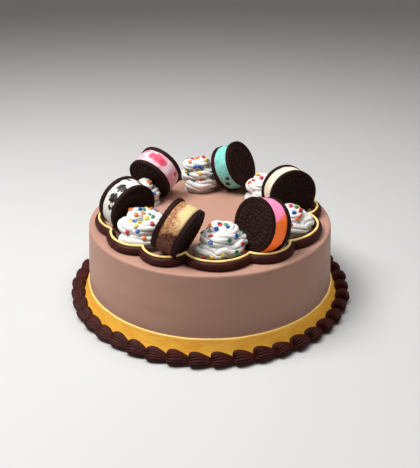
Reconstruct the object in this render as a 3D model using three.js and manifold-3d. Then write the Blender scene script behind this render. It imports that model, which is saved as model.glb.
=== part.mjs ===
// A round ice cream cake, 9 inches across. It stands in mocha icing, with a yellow band and a piped
// fudge shell border round its foot. On top a scalloped fudge rope with a yellow line on its crest
// runs round six ice cream sandwiches, with a sprinkled cream rosette between each two of them.
// Millimetres, +Z up; the origin is the middle of the underside.
import * as THREE from "three";
import { mergeVertices } from "three/addons/utils/BufferGeometryUtils.js";
import Module from "manifold-3d";

const wasm = await Module();
wasm.setup();

// Driving dimensions

const GAP = 0.3; // clearance left between pieces that touch

const CAKE = {
  radius: 114.3, // at the top edge: half of 9 inches
  footRadius: 118.5, // the iced side flares by this much down to the band
  height: 75.9,
  edge: 2.6, // rounding of the top edge
  segments: 72,
};

const BAND = {
  height: 18.3,
  lip: 1.3, // radius of the rounded bead along the band's top
  proud: 0.75, // the bead's middle stands this share of its radius out of the iced side
  beadTurns: [-60, 0, 80], // degrees round the bead, from its underside to its top
  flare: 6.2, // how much wider the band is at the floor than under its bead
  flarePower: 1.2,
  clearance: 0.5, // above the floor
};

const SHELLS = {
  count: 44,
  start: -89.4, // azimuth of a valley between two shells
  footRadius: 136.9,
  crestRadius: 130.2,
  crest: 12.1, // height of a shell's head
  valley: 6.8, // height where a tail runs under the next head
  pinch: 1.6, // how far the foot draws in there
  over: 155, // degrees that a section turns, from the foot up and over to the band
  flute: 0.55, // depth of the star nozzle's grooves, up and down from the mean
  tailFlute: 0.4, // share of that depth left at the tail
  flutes: 3, // grooves over that turn
  phases: [0, 0.12, 0.36, 0.7], // stations from a shell's head to its tail
};

const ROPE = {
  // Where the scallops meet: azimuth in degrees, anticlockwise from +X, and distance from the axis.
  cusps: [
    [-154, 97],
    [-127, 94],
    [-103, 89],
    [-69.4, 93],
    [-44, 95],
    [-6.5, 92],
    [24, 91],
    [56.5, 93],
    [85.5, 90],
    [118.5, 92],
    [146, 93],
    [175.5, 94],
  ],
  radius: 104.3, // of the middle of each scallop
  roundness: 0.65,
  step: 0.01, // share of a scallop over which its direction is taken
  halfWidth: 4.4,
  height: 7.2,
  // One side of the section from its foot up, in shares of the half width and the height.
  outline: [
    [0.85, 0],
    [1, 0.4],
    [0.4, 1],
  ],
  stations: 7,
};

const LINE = {
  halfWidth: 1.15,
  height: 1.1,
  outline: [
    [1, 0],
    [0.6, 1],
  ],
};

const SANDWICH = {
  radius: 23.6,
  wafer: 4.1, // thickness of one wafer
  fillingRadius: 22.3,
  bulge: 0.6, // the ice cream stands this far out at its middle
  segments: 26,
};

// Each sandwich stands on its edge: its middle, with the height taken from the cake's top, the azimuth
// and upward tilt of the nearer wafer's face in degrees, and the thickness of the whole.
const SANDWICHES = [
  { name: "chunk", at: [-75.1, -24.3, 23.4], faces: -46.8, tilt: -11.3, thick: 22, tint: "#e9e6de" },
  { name: "toffee", at: [-26.7, -77.9, 24.7], faces: -24.6, tilt: -22.4, thick: 24.4, tint: "#d9b98a" },
  { name: "sorbet", at: [44.3, -68.2, 23.9], faces: -143.3, tilt: 16.4, thick: 22.7, tint: "#f7775f" },
  { name: "vanilla", at: [74.7, 7.7, 22.5], faces: -69.2, tilt: 3.7, thick: 22.6, tint: "#f6efdc" },
  { name: "mint", at: [24.3, 71, 24.5], faces: -30.7, tilt: 26.2, thick: 23.1, tint: "#86d3c2" },
  { name: "pink", at: [-55.1, 51.8, 24.8], faces: -124.4, tilt: -22.9, thick: 24.7, tint: "#f4b3c4" },
];

const ROSETTE = {
  turns: 3, // of the coil of cream above the cake's top
  stations: 14, // round one turn
  rows: 3, // up the round of one coil
  bulge: 3.5, // a coil's round stands this far out of its creases
  pleat: 0.55, // depth of the star nozzle's pleats, out and in from the mean
  climb: 1.25, // the higher, the lower the first turn
};

// Azimuth of each rosette in degrees, its distance from the axis, its radius and its height. The
// lower blunt is, the broader its top.
const ROSETTES = [
  { azimuth: -139, from: 77.5, radius: 25.5, height: 29, blunt: 1 },
  { azimuth: -83, from: 78, radius: 25.5, height: 31, blunt: 1 },
  { azimuth: -24, from: 78.5, radius: 25, height: 30, blunt: 1.05 },
  { azimuth: 42, from: 69, radius: 21.5, height: 27, blunt: 0.9 },
  { azimuth: 98.5, from: 73, radius: 20.5, height: 35, blunt: 0.65 },
  { azimuth: 152, from: 76, radius: 22.5, height: 25, blunt: 0.9 },
];

const SPRINKLE = {
  radius: 1.9,
  thickness: 1.1,
  sides: 6,
  lift: 0.25, // of the middle of a sprinkle above the cream, into which its lower half sinks
  perRosette: 9,
  turn: 137.508, // degrees from one to the next, which spreads them evenly
  start: 60, // degrees from the first one on a rosette to the first one on the next rosette
  reach: 0.9, // the outermost lie at this share of the rosette's radius
  clear: 2.6, // least distance to a sandwich or to the rope
  lean: 0.25, // most that a sprinkle leans away from the slope it lies on, as a slope
};

// Maths

const radians = THREE.MathUtils.degToRad;
const polar = (radius, azimuth, z) =>
  new THREE.Vector3(radius * Math.cos(azimuth), radius * Math.sin(azimuth), z);

// Park-Miller random numbers between 0 and 1, the same in every run.
function drawsFrom(seed) {
  let state = seed;
  return () => {
    state = (state * 16807) % 2147483647;
    return state / 2147483647;
  };
}

// Geometry and solids

function geometryFrom(points, index) {
  const geometry = new THREE.BufferGeometry().setFromPoints(points);
  geometry.setIndex(index);
  geometry.computeVertexNormals();
  return geometry;
}

function solidFrom(geometry) {
  const bare = geometry.clone();
  bare.deleteAttribute("normal");
  bare.deleteAttribute("uv");
  const merged = mergeVertices(bare, 1e-4);
  const vertProperties = merged.attributes.position.array;
  const triVerts = new Uint32Array(merged.index.array);
  return new wasm.Manifold(new wasm.Mesh({ numProp: 3, vertProperties, triVerts }));
}

function geometryOf(solid) {
  const mesh = solid.getMesh();
  const geometry = new THREE.BufferGeometry();
  geometry.setAttribute("position", new THREE.BufferAttribute(mesh.vertProperties, 3));
  geometry.setIndex(new THREE.BufferAttribute(mesh.triVerts, 1));
  geometry.computeVertexNormals();
  return geometry;
}

// The largest body of a solid, without the scraps that a cut leaves.
function largestBody(solid) {
  const bodies = solid.decompose();
  return bodies.reduce((best, body) => (body.volume() > best.volume() ? body : best));
}

// A turned body: its profile of radius and height goes anticlockwise, from the axis or closed on itself.
function turned(profile, segments) {
  const points = profile.map(([radius, height]) => new THREE.Vector2(radius, height));
  return new THREE.LatheGeometry(points, segments).rotateX(Math.PI / 2);
}

// A skin over rings of points, capped at both ends, or with the last ring joined to the first.
function skinned(rings, joined) {
  const size = rings[0].length;
  const index = [];
  const spans = joined ? rings.length : rings.length - 1;
  for (let i = 0; i < spans; i++) {
    const here = i * size;
    const next = ((i + 1) % rings.length) * size;
    for (let j = 0; j < size; j++) {
      const k = (j + 1) % size;
      index.push(here + j, next + k, here + k, here + j, next + j, next + k);
    }
  }
  const last = (rings.length - 1) * size;
  for (let j = 1; j < size - 1 && !joined; j++) {
    index.push(0, j, j + 1, last, last + j + 1, last + j);
  }
  return geometryFrom(rings.flat(), index);
}

// Cake and band

function cakeGeometry() {
  const { radius, footRadius, height, edge, segments } = CAKE;
  const profile = [
    [0, 0],
    [footRadius, 0],
    [footRadius, BAND.height],
  ];
  for (const turn of [0, 45, 90].map(radians)) {
    profile.push([radius - edge * (1 - Math.cos(turn)), height - edge * (1 - Math.sin(turn))]);
  }
  profile.push([0, height]);
  return turned(profile, segments);
}

// Outer radius of the band at a height above the floor.
function bandRadius(z) {
  const under = BAND.height - BAND.lip;
  const down = Math.max(0, 1 - z / under);
  return CAKE.footRadius + GAP + BAND.lip * BAND.proud + BAND.flare * down ** BAND.flarePower;
}

function bandGeometry() {
  const inner = CAKE.footRadius + GAP;
  const under = BAND.height - BAND.lip;
  const profile = [[inner, BAND.clearance]];
  for (const z of [BAND.clearance, under / 2]) {
    profile.push([bandRadius(z), z]);
  }
  for (const turn of BAND.beadTurns.map(radians)) {
    const radius = inner + BAND.lip * (BAND.proud + Math.cos(turn));
    profile.push([radius, under + BAND.lip * Math.sin(turn)]);
  }
  profile.push([inner, under]);
  profile.push(profile[0]);
  return turned(profile, CAKE.segments);
}

// Shell border: one unbroken run of shells. Each has its fat head towards the lower azimuth.

function shellSection(phase, azimuth) {
  const swell = Math.sin(Math.PI * Math.sqrt(phase));
  const height = SHELLS.valley + (SHELLS.crest - SHELLS.valley) * swell;
  const foot = SHELLS.footRadius - SHELLS.pinch * (1 - swell);
  const reach = foot - SHELLS.crestRadius;
  const flute = SHELLS.flute * THREE.MathUtils.lerp(SHELLS.tailFlute, 1, swell);
  const rows = 2 * SHELLS.flutes;
  const section = [polar(foot, azimuth, 0)];
  for (let row = 1; row <= rows; row++) {
    const turn = radians((SHELLS.over * row) / rows);
    const ridge = row % 2 ? flute : -flute;
    const radius = SHELLS.crestRadius + (reach + ridge) * Math.cos(turn);
    const z = (height + ridge) * Math.sin(turn);
    section.push(polar(Math.max(radius, bandRadius(z) + GAP), azimuth, z));
  }
  section.push(polar(bandRadius(0) + GAP, azimuth, 0));
  return section;
}

function shellBorderGeometry() {
  const pitch = (2 * Math.PI) / SHELLS.count;
  const rings = [];
  for (let shell = 0; shell < SHELLS.count; shell++) {
    for (const phase of SHELLS.phases) {
      rings.push(shellSection(phase, radians(SHELLS.start) + (shell + phase) * pitch));
    }
  }
  return skinned(rings, true);
}

// Fudge rope and its yellow line: twelve scallops, each a sweep from cusp to cusp.

function scallopPoint(scallop, share) {
  const { cusps, radius, roundness } = ROPE;
  const [start, startRadius] = cusps[scallop];
  const [end, endRadius] = cusps[(scallop + 1) % cusps.length];
  const azimuth = start + ((end - start + 360) % 360) * share;
  const bow = Math.max(0, Math.sin(Math.PI * share)) ** roundness;
  const from = THREE.MathUtils.lerp(startRadius, endRadius, share);
  return polar(THREE.MathUtils.lerp(from, radius, bow), radians(azimuth), 0);
}

// Sweeps a section of sideways and upward sizes along a scallop, starting at height z.
function scallopGeometry(scallop, section, z) {
  const rings = [];
  for (let station = 0; station <= ROPE.stations; station++) {
    const share = (1 - Math.cos((Math.PI * station) / ROPE.stations)) / 2;
    const before = scallopPoint(scallop, Math.max(0, share - ROPE.step));
    const after = scallopPoint(scallop, Math.min(1, share + ROPE.step));
    const ahead = after.sub(before).normalize();
    const side = new THREE.Vector3(ahead.y, -ahead.x, 0);
    const middle = scallopPoint(scallop, share);
    rings.push(
      section.map(([across, up]) => {
        const point = middle.clone().addScaledVector(side, across);
        return point.setZ(z + up);
      }),
    );
  }
  return skinned(rings, false);
}

// Section of the rope or the line, grown all round by a gap.
function strandSection({ halfWidth, height, outline }, grow) {
  const side = outline.map(([across, up]) => [
    across * (halfWidth + grow),
    up === 0 ? -grow : up * (height + grow),
  ]);
  const otherSide = side.map(([across, up]) => [-across, up]).reverse();
  return [...side, ...otherSide];
}

function scallopedSolid(section, z) {
  const scallops = ROPE.cusps.map((_, scallop) => solidFrom(scallopGeometry(scallop, section, z)));
  return scallops.reduce((joined, scallop) => joined.add(scallop));
}

// Ice cream sandwiches

function sandwichFrame(sandwich) {
  const [x, y, up] = sandwich.at;
  const azimuth = radians(sandwich.faces);
  const tilt = radians(sandwich.tilt);
  const facing = polar(Math.cos(tilt), azimuth, Math.sin(tilt));
  const frame = new THREE.Group();
  frame.position.set(x, y, CAKE.height + up);
  frame.quaternion.setFromUnitVectors(new THREE.Vector3(0, 0, 1), facing);
  frame.updateMatrix();
  return frame;
}

function discGeometry(radius, thickness) {
  return new THREE.CylinderGeometry(radius, radius, thickness, SANDWICH.segments).rotateX(Math.PI / 2);
}

function fillingGeometry(thickness) {
  const half = thickness / 2;
  const { fillingRadius, bulge, segments } = SANDWICH;
  return turned(
    [
      [0, -half],
      [fillingRadius, -half],
      [fillingRadius + bulge, 0],
      [fillingRadius, half],
      [0, half],
    ],
    segments,
  );
}

function sandwichGroup(sandwich) {
  const { radius, wafer } = SANDWICH;
  const away = (sandwich.thick - wafer) / 2;
  const near = namedMesh(`${sandwich.name}_wafer_near`, discGeometry(radius, wafer), LOOKS.wafer);
  const far = namedMesh(`${sandwich.name}_wafer_far`, discGeometry(radius, wafer), LOOKS.wafer);
  near.position.z = away;
  far.position.z = -away;
  const filling = fillingGeometry(sandwich.thick - 2 * wafer - 2 * GAP);
  const look = { color: sandwich.tint, roughness: 0.45 };
  const group = sandwichFrame(sandwich);
  group.add(near, far, namedMesh(`${sandwich.name}_ice_cream`, filling, look));
  return group;
}

// The room that a sandwich takes, with the gap round it.
function sandwichRoom(sandwich) {
  const room = discGeometry(SANDWICH.radius + GAP, sandwich.thick + 2 * GAP);
  return solidFrom(room.applyMatrix4(sandwichFrame(sandwich).matrix));
}

// Distance from a point to the nearest sandwich, taken as a plain disc.
function distanceToSandwiches(point) {
  const distances = SANDWICHES.map((sandwich) => {
    const local = point.clone().applyMatrix4(sandwichFrame(sandwich).matrix.invert());
    const outside = Math.max(0, Math.hypot(local.x, local.y) - SANDWICH.radius);
    const beyond = Math.max(0, Math.abs(local.z) - sandwich.thick / 2);
    return Math.hypot(outside, beyond);
  });
  return Math.min(...distances);
}

// Rosettes: a coil of cream that climbs and closes in, fluted by a star nozzle

// The crease between two turns of the coil, after a number of turns above the cake's top: it winds up
// a dome and ends at its tip. Before that it comes up from below, through one more turn.
function creasePoint(rosette, turns) {
  const { climb, bulge } = ROSETTE;
  const rise = (Math.PI / 2) * Math.min(1, Math.max(0, turns / ROSETTE.turns));
  const side = Math.cos(rise);
  const radius = rosette.radius * side ** rosette.blunt - bulge * Math.sqrt(side);
  const z = rosette.height * (Math.sin(rise) ** climb + Math.min(0, turns / ROSETTE.turns));
  return { radius: Math.max(0, radius), z };
}

// A point on the coil: row 0 is the crease below it and row 1 the crease above.
function coilPoint(rosette, station, row) {
  const turns = station / ROSETTE.stations - 1;
  const below = creasePoint(rosette, turns);
  const above = creasePoint(rosette, turns + 1);
  const round = Math.sin(Math.PI * row) * Math.sqrt(Math.min(1, below.radius / rosette.radius));
  const out = (ROSETTE.bulge + ROSETTE.pleat * (station % 2 ? -1 : 1)) * round;
  const radius = THREE.MathUtils.lerp(below.radius, above.radius, row) + out;
  const z = THREE.MathUtils.lerp(below.z, above.z, row) + (out * below.z) / rosette.height;
  return polar(radius, 2 * Math.PI * turns, z);
}

function coilGeometry(rosette) {
  const { turns, stations, rows } = ROSETTE;
  const total = turns * stations;
  const points = [];
  const numbers = new Map();
  const vertex = (station, row) => {
    const key = row === rows ? `${station + stations},0` : `${station},${row}`;
    if (!numbers.has(key)) {
      numbers.set(key, points.length);
      points.push(coilPoint(rosette, station, (row % rows) / rows));
    }
    return numbers.get(key);
  };
  const index = [];
  for (let station = 0; station < total; station++) {
    for (let row = 0; row < rows; row++) {
      const here = vertex(station, row);
      const over = vertex(station, row + 1);
      const next = vertex(station + 1, row);
      const across = vertex(station + 1, row + 1);
      index.push(here, next, across, here, across, over);
    }
  }
  const tip = vertex(total + stations, 0);
  const root = points.push(new THREE.Vector3(0, 0, -rosette.height)) - 1;
  for (let step = 0; step < stations; step++) {
    index.push(tip, vertex(total + step, 0), vertex(total + step + 1, 0));
    index.push(root, vertex(step + 1, 0), vertex(step, 0));
  }
  for (let row = 0; row < rows; row++) {
    index.push(tip, vertex(total, row + 1), vertex(total, row));
    index.push(root, vertex(0, row), vertex(0, row + 1));
  }
  return geometryFrom(points, index);
}

function rosettePlace(rosette) {
  const place = polar(rosette.from, radians(rosette.azimuth), CAKE.height + GAP);
  const spin = new THREE.Matrix4().makeRotationZ(radians(rosette.azimuth));
  return spin.setPosition(place);
}

// Where something dropped straight down onto a geometry lands, and the slope there.
function landing(geometry, x, y) {
  const above = new THREE.Vector3(x, y, 2 * CAKE.height);
  const ray = new THREE.Raycaster(above, new THREE.Vector3(0, 0, -1));
  const [hit] = ray.intersectObject(new THREE.Mesh(geometry));
  return hit && { point: hit.point, normal: hit.face.normal };
}

function sprinkleSolids(rosette, cream, number) {
  const draw = drawsFrom(number + 1);
  const solids = [];
  for (let i = 0; i < SPRINKLE.perRosette; i++) {
    const out = SPRINKLE.reach * rosette.radius * Math.sqrt((i + 0.5) / SPRINKLE.perRosette);
    const turn = radians(SPRINKLE.turn * (i + 1) + SPRINKLE.start * number);
    const centre = polar(rosette.from, radians(rosette.azimuth), 0).add(polar(out, turn, 0));
    const lean = new THREE.Vector3(draw() - 0.5, draw() - 0.5, 0).multiplyScalar(2 * SPRINKLE.lean);
    const hit = landing(cream, centre.x, centre.y);
    if (!hit || distanceToSandwiches(hit.point) < SPRINKLE.clear) continue;
    if (hit.point.z < CAKE.height + ROPE.height + SPRINKLE.clear) continue;
    const up = hit.normal.clone().add(lean).normalize();
    const tilt = new THREE.Quaternion().setFromUnitVectors(new THREE.Vector3(0, 1, 0), up);
    const place = hit.point.clone().addScaledVector(up, SPRINKLE.lift);
    const { radius, thickness, sides } = SPRINKLE;
    const disc = new THREE.CylinderGeometry(radius, radius, thickness, sides);
    solids.push(solidFrom(disc.applyQuaternion(tilt).translate(place.x, place.y, place.z)));
  }
  return solids;
}

// A rosette stands on the cake's top, and leaves room for its neighbours.
function rosetteSolid(rosette, number, neighbours) {
  const { radius, height } = CAKE;
  const under = new THREE.BoxGeometry(2 * radius, 2 * radius, height).translate(0, 0, -height / 2);
  const coil = solidFrom(coilGeometry(rosette)).subtract(solidFrom(under));
  const placed = geometryOf(coil).applyMatrix4(rosettePlace(rosette));
  const cut = neighbours.reduce((left, room) => left.subtract(room), solidFrom(placed));
  const cream = largestBody(cut);
  const sprinkles = sprinkleSolids(rosette, geometryOf(cream), number);
  return largestBody(sprinkles.reduce((joined, sprinkle) => joined.add(sprinkle), cream));
}

// Looks

const LOOKS = {
  mocha: { color: "#a88473", roughness: 0.55 },
  yellow: { color: "#efb955", roughness: 0.5 },
  lemon: { color: "#f6dc96", roughness: 0.4 },
  fudge: { color: "#3a1e18", roughness: 0.35 },
  wafer: { color: "#2a1b18", roughness: 0.7 },
  cream: { color: "#f2eeea", roughness: 0.5 },
};

function namedMesh(name, geometry, look) {
  const mesh = new THREE.Mesh(geometry, new THREE.MeshStandardMaterial({ ...look, metalness: 0 }));
  mesh.name = name;
  return mesh;
}

// The whole cake

function iceCreamCake() {
  const ropeBase = CAKE.height + GAP;
  const lineBase = ropeBase + ROPE.height + GAP;
  const rooms = SANDWICHES.map(sandwichRoom);
  const withRooms = (solid) => rooms.reduce((left, room) => left.subtract(room), solid);
  const rope = largestBody(withRooms(scallopedSolid(strandSection(ROPE, 0), ropeBase)));
  const line = largestBody(withRooms(scallopedSolid(strandSection(LINE, 0), lineBase)));
  const ropeRoom = scallopedSolid(strandSection(ROPE, GAP), ropeBase);
  const lineRoom = scallopedSolid(strandSection(LINE, GAP), lineBase);

  const whole = new THREE.Group();
  whole.add(namedMesh("cake", geometryOf(withRooms(solidFrom(cakeGeometry()))), LOOKS.mocha));
  whole.add(namedMesh("yellow_band", bandGeometry(), LOOKS.yellow));
  whole.add(namedMesh("shell_border", shellBorderGeometry(), LOOKS.fudge));
  whole.add(namedMesh("fudge_rope", geometryOf(rope), LOOKS.fudge));
  whole.add(namedMesh("yellow_line", geometryOf(line), LOOKS.lemon));
  for (const sandwich of SANDWICHES) {
    whole.add(sandwichGroup(sandwich));
  }
  ROSETTES.forEach((rosette, number) => {
    const solid = rosetteSolid(rosette, number, [...rooms, ropeRoom, lineRoom]);
    whole.add(namedMesh(`rosette_${number + 1}`, geometryOf(solid), LOOKS.cream));
  });
  return whole;
}

export default iceCreamCake();
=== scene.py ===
"""A round ice cream cake in mocha icing, laid out as an add-on and run as a script.

Pieces: the iced cake, the yellow band, the shell border, the fudge rope with its yellow line, six ice
cream sandwiches, six cream rosettes and the sprinkles on them. Metres, +Z up, the origin in the middle
of the underside.
"""
import math
import random
from collections import namedtuple
from contextlib import contextmanager

import bmesh
import bpy
from bpy.props import FloatProperty, FloatVectorProperty, IntProperty, PointerProperty
from mathutils import Matrix, Vector, noise
from mathutils.bvhtree import BVHTree


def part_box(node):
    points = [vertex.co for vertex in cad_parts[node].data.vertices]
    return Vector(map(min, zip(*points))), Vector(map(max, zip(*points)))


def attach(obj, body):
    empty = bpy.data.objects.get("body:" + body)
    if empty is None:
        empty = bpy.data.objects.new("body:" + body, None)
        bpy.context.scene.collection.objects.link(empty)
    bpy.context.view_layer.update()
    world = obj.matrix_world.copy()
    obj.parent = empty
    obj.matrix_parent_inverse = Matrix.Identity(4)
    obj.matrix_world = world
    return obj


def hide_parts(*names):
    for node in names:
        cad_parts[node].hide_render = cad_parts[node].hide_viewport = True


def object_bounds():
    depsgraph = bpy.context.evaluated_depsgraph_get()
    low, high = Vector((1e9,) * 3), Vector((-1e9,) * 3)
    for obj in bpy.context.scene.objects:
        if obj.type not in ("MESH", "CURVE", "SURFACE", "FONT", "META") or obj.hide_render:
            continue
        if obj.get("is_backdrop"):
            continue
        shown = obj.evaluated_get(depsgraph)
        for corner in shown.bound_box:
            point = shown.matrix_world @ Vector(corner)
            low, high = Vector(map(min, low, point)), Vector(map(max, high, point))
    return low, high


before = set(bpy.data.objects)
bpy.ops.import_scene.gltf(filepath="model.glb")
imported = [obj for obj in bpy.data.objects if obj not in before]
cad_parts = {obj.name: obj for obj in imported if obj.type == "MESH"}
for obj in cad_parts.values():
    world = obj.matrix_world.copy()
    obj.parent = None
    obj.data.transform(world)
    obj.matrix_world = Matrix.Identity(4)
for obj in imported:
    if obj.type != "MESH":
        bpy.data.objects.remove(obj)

bl_info = {
    "name": "Ice Cream Cake",
    "version": (1, 0, 0),
    "blender": (4, 5, 0),
    "location": "View3D > Sidebar > Cake",
    "description": "Makes a decorated round ice cream cake, piece by piece",
    "category": "Add Mesh",
}

CAD_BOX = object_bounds()
BODY = "root"
MM = 0.001
TURN = 2 * math.pi
UP = Vector((0, 0, 1))

CAMERA = Vector((0, -0.576, 0.3433))
CAMERA_PITCH = math.radians(26.42)
CAMERA_LENS, SENSOR_WIDTH = 51.05, 36
# Name, place and size of the lights.
LIGHTS = (("key", (-0.5, -0.1, 1.05), 0.6), ("top", (0.2, 0.0, 1.2), 0.8))
# The floor's flat radius, the radius of its bend up into the wall, and the wall's height.
FLOOR, FLOOR_BEND, WALL = 2, 1, 2.4

CAKE_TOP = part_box("cake")[1].z
ROPE_LOW, ROPE_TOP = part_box("fudge_rope")[0].z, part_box("fudge_rope")[1].z
LINE_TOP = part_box("yellow_line")[1].z
SHELL_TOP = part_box("shell_border")[1].z
SIDE_FOOT = 16 * MM  # height at which the cake's side starts to draw in
ROUND_STEPS = 240  # steps of what is spun round the cake's axis

# Where the scallops of the rope meet: azimuth in degrees, anticlockwise from +X, and distance from the
# cake's axis in millimetres.
CUSPS = (
    (-154, 97), (-127, 94), (-103, 89), (-69.4, 93), (-44, 95), (-6.5, 92),
    (24, 91), (56.5, 93), (85.5, 90), (118.5, 92), (146, 93), (175.5, 94),
)

# Azimuth in degrees, then distance from the axis, radius and height in millimetres, turns of the rope of
# cream, azimuth in degrees at which it starts, bluntness, which makes the top broader when it is lower,
# and height in millimetres of the middle of the first turn.
Rosette = namedtuple("Rosette", "azimuth away radius height turns start blunt foot")
ROSETTES = (
    Rosette(-139, 77.5, 25.5, 30, 2.2, 190, 0.32, 6.5),
    Rosette(-83, 78, 25.5, 31, 2.1, 170, 0.6, 7),
    Rosette(-24, 78.5, 25, 30, 2.0, 200, 0.85, 6.5),
    Rosette(42, 69, 21.5, 27, 1.9, 230, 0.75, 5.5),
    Rosette(98.5, 73, 21, 36, 2.5, 200, 0.22, 5.5),
    Rosette(152, 76, 22.5, 25, 1.9, 150, 0.75, 5.5),
)

# The sprinkles on the camera's side of each rosette: millimetres to the right of the middle of the
# rosette's foot and up from it, as the camera sees them.
SPRINKLED = (
    {
        "blue": ((-16, 22), (-4, 27), (10, 27), (-8, 17), (-6, 8)),
        "green": ((0, 27), (16, 25), (5, 23), (8, 21)),
        "orange": ((6, 28), (-7, 23), (-1, 24), (0, 2)),
        "yellow": ((2, 20), (-12, 17), (-4, 16), (-7, 13)),
        "red": ((7, 15), (-15, 7)),
    },
    {
        "blue": ((-4, 22), (6, 23), (13, 16), (-9, 10)),
        "green": ((4, 25), (-16, 19), (7, 12), (13, 2)),
        "orange": ((-9, 25),),
        "yellow": ((1, 0), (-8, -3)),
        "red": ((-1, 25), (-9, 16), (18, 9), (-15, -3)),
    },
    {
        "blue": ((5, 17),),
        "green": ((7, 22),),
        "orange": ((11, 14), (8, 11)),
        "yellow": ((8, 22),),
        "red": ((2, 23), (11, 19), (2, 6)),
    },
    {
        "orange": ((-11, 15), (7, 20)),
        "yellow": ((-3, 23),),
        "red": ((1, 20), (-7, 17)),
        "green": ((5, 12),),
    },
    {
        "blue": ((-5, 22), (-6, 8), (-1, 22), (2, 21)),
        "green": ((-12, 15), (12, 12)),
        "orange": ((-1, 31), (-10, 27), (-17, 20), (2, 8)),
        "yellow": ((7, 29), (0, 15), (-14, 17), (12, 25)),
        "red": ((4, 32), (-8, 30)),
    },
    {"orange": ((5, 20), (7, 18)), "blue": ((11, 8),)},
)
# The colours that the sprinkles at the back are drawn from, and the turn from one place to the next.
SPRINKLE_DRAW = ("blue", "orange", "green", "red", "blue", "yellow", "green", "orange", "red", "blue")
GOLDEN = math.radians(137.508)

# Rings of a wafer's face from its rim inwards, and the button in its middle: width in millimetres, then
# how many parts of the circle are raised out of how many.
WAFER_PARTS = 72
WAFER_RINGS = (
    (1.0, 0, 1), (1.8, 1, 2), (0.7, 0, 1), (0.9, 1, 1), (0.8, 0, 1), (4.4, 2, 3), (0.9, 0, 1),
    (2.1, 2, 4), (0.8, 0, 1), (0.9, 1, 1), (0.8, 0, 1), (3.6, 4, 6), (0.9, 0, 1),
)
WAFER_BUTTON = (10, 1, 1)

# Patches on the side of an ice cream: clock angle in degrees, then millimetres across and radius.
CHUNKS = (
    (113, 1.8, 4.6), (142, 2.2, 4.7), (84, -4.4, 2.2), (107, -6.8, 2), (165, 3, 2.6), (60, 2, 2.8),
    (20, -2, 3), (-30, 2, 2.5), (-80, -2, 3),
)
MINT_CHIPS = ((-145, -1.7, 2.7), (-161, 1.8, 2.1), (100, 4, 1.4), (48, -3, 1.5), (-20, 3, 1.6))
BERRIES = (
    (50, -0.6, 4.6), (64, -1.2, 5), (80, -0.8, 4), (109, -6, 2.6), (3, -3.6, 2.4), (-60, 2, 3.4),
    (150, 1, 3),
)
BERRY_CORES = ((54, -0.4, 3), (3, -3.6, 1.2), (66, 0.5, 1.6))


def srgb(code):
    """The linear colour that stands behind a web colour such as #a1b2c3."""
    shares = [int(code[i : i + 2], 16) / 255 for i in (1, 3, 5)]
    return tuple(s / 12.92 if s <= 0.04045 else ((s + 0.055) / 1.055) ** 2.4 for s in shares)


# What the settings are declared with


def length(name, about, millimetres):
    return FloatProperty(
        name=name, description=about, default=millimetres * MM, min=0, unit="LENGTH", subtype="DISTANCE"
    )


def angle(name, about, degrees):
    return FloatProperty(name=name, description=about, default=math.radians(degrees), subtype="ANGLE")


def share(name, about, default):
    return FloatProperty(name=name, description=about, default=default, min=0, subtype="FACTOR")


def power(name, about, watts):
    return FloatProperty(name=name, description=about, default=watts, min=0, unit="POWER")


def count(name, about, default):
    return IntProperty(name=name, description=about, default=default, min=1)


def colour(name, about, code):
    return FloatVectorProperty(
        name=name, description=about, default=srgb(code), min=0, max=1, size=3, subtype="COLOR"
    )


# Sizes and colours


class CakeIcing(bpy.types.PropertyGroup):
    radius: length("Radius", "Radius at the cake's top edge", 114.3)
    foot_radius: length("Foot radius", "Radius where the iced side goes into the band", 118.5)
    edge: length("Edge", "Rounding of the top edge", 2.3)
    uneven: length("Unevenness", "How far the spread icing wanders in and out", 0.35)
    tint: colour("Mocha", "Colour of the mocha icing", "#b58a78")


class BandIcing(bpy.types.PropertyGroup):
    height: length("Height", "Height of the band's top edge", 18.3)
    rim: length("Rim", "Rounding of the top edge", 1.0)
    flare: length("Flare", "How much wider the band is at the floor", 6.8)
    flare_power: share("Flare power", "Higher keeps the flare nearer the floor", 1.5)
    tint: colour("Yellow", "Colour of the yellow icing", "#ffbc48")


class ShellPiping(bpy.types.PropertyGroup):
    number: count("Shells", "Shells round the foot", 44)
    start: angle("Start", "Azimuth of the first valley", -89.4)
    foot_radius: length("Foot radius", "Distance from the axis to the outside of a shell", 136.9)
    crest_radius: length("Crest radius", "Distance from the axis to the middle of a shell", 130.2)
    groove: length("Groove", "Depth of the star nozzle's grooves", 1.25)
    ridges: count("Ridges", "Ridges round a shell", 16)
    head: share("Head", "Where a shell is thickest, as a share of its length", 0.3)
    twist: angle("Twist", "How far the ridges swirl round the head", 143.24)
    fringe: length("Fringe", "How far the ridges stick out at the head of a shell", 2.4)
    uneven: share("Unevenness", "How much the shells differ in size", 0.1)


class RopePiping(bpy.types.PropertyGroup):
    radius: length("Radius", "Distance from the axis to the outside of a scallop", 104.3)
    roundness: share("Roundness", "Lower makes squarer scallops", 0.65)
    half_width: length("Half width", "Half the rope's width", 4.4)
    inner: share("Inner share", "Width of the inner half against the outer half", 0.95)
    groove: length("Groove", "Depth of the lengthwise grooves", 0.35)
    ridges: count("Ridges", "Ridges round the rope", 18)
    tint: colour("Fudge", "Colour of the fudge", "#3d1915")


class LinePiping(bpy.types.PropertyGroup):
    half_width: length("Half width", "Half the line's width", 1.05)
    tint: colour("Lemon", "Colour of the line on the rope", "#ffd988")


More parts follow.
